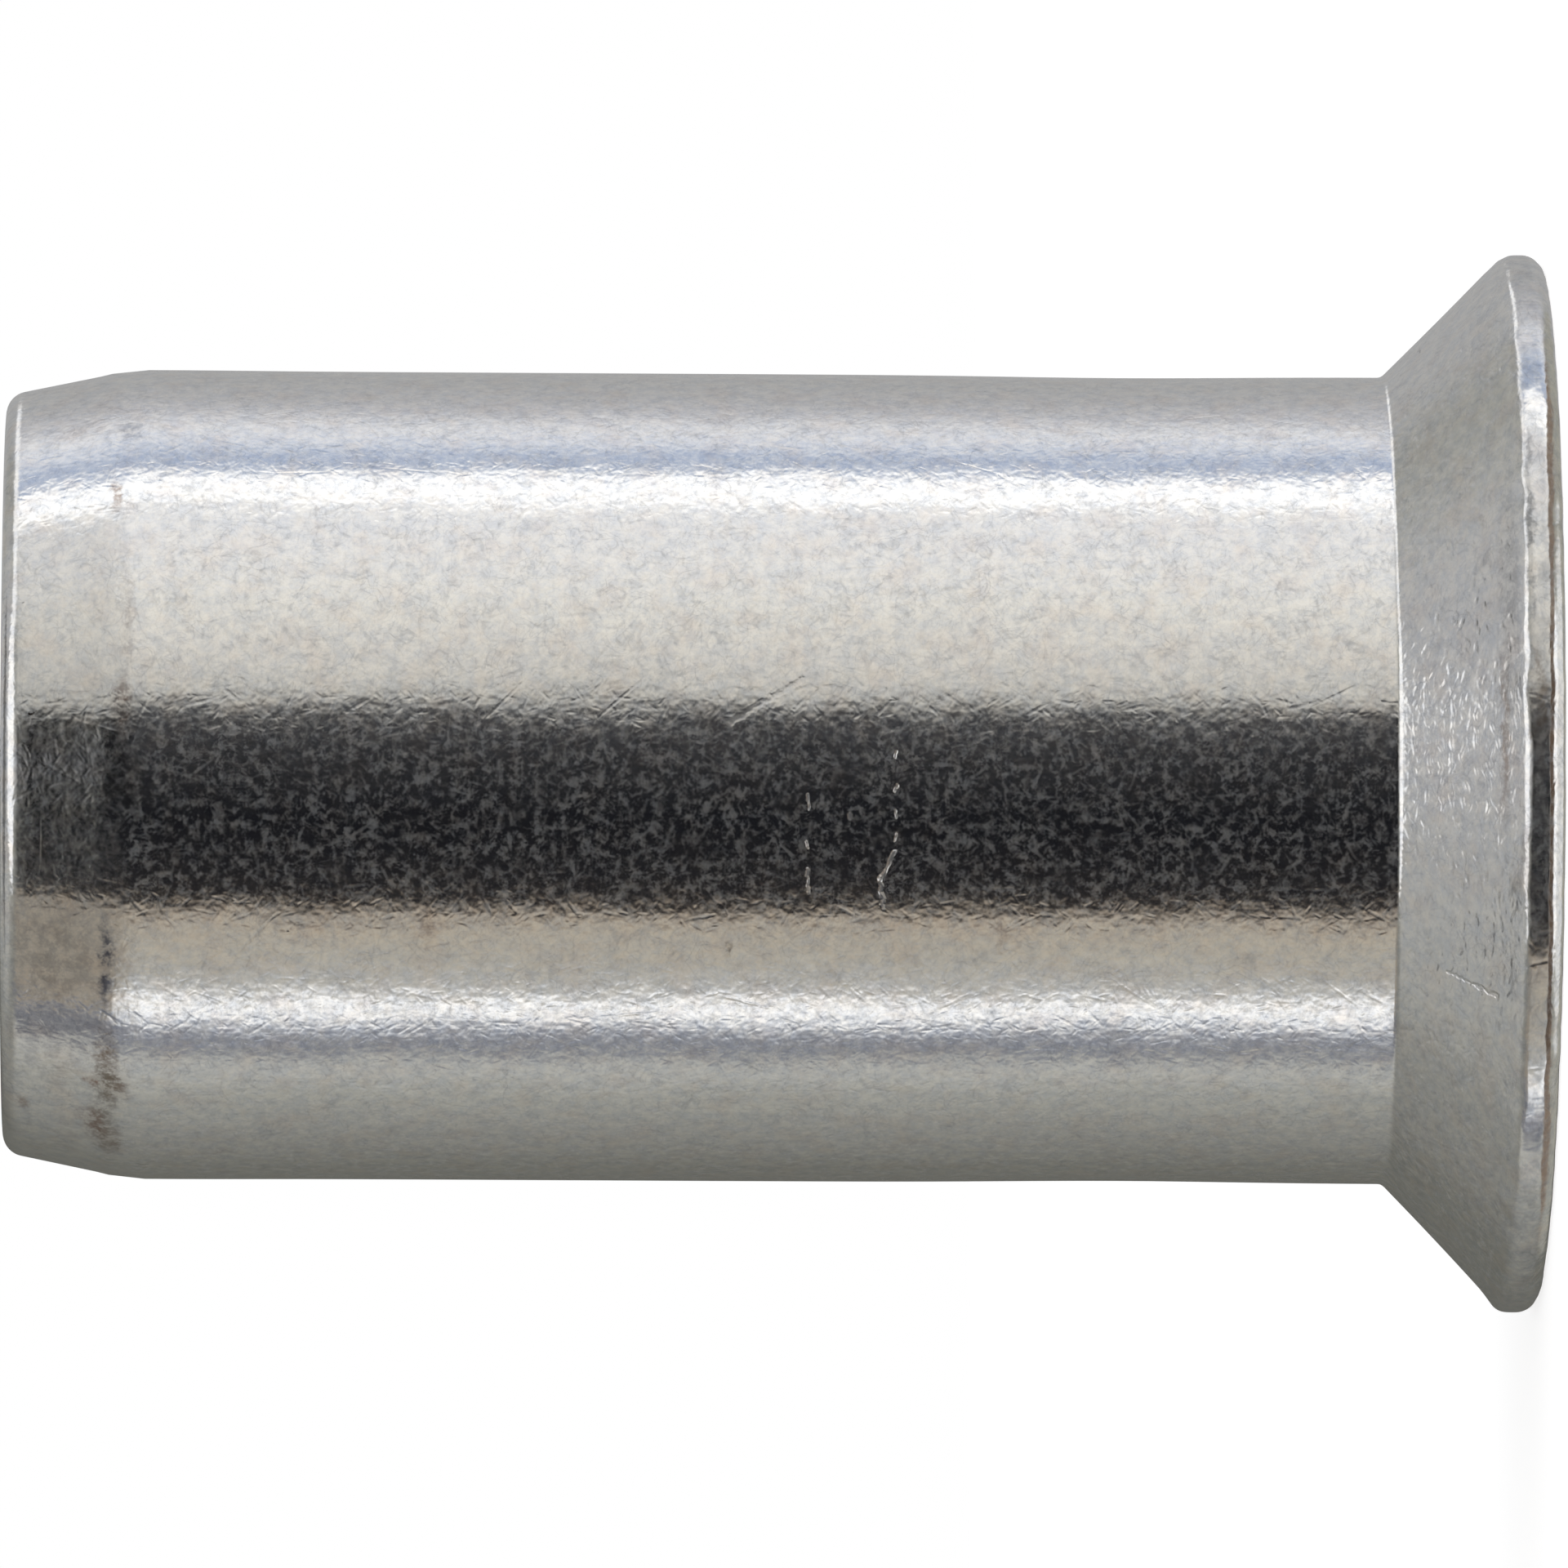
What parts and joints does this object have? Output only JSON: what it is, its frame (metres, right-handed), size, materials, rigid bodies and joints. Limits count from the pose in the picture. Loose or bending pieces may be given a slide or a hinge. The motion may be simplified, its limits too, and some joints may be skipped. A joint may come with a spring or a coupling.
{
  "type": "rivet nut",
  "caption": "Open-end blind rivet nut with a countersunk head, a smooth round body and an internal thread behind a thin sleeve.",
  "frame": {"origin": "centre of the head's flat face, which the nut stands on", "axes": "+Z along the nut's axis from the head to the threaded end; X and Y are free, because the form is round"},
  "size_m": [0.0118, 0.0118, 0.0171],
  "materials": {
    "tumbled_aluminium": "bare cold-formed aluminium, tumbled to a satin with fine short nicks"
  },
  "bodies": {
    "root": {"rivet_nut": "tumbled_aluminium"}
  },
  "joints": []
}
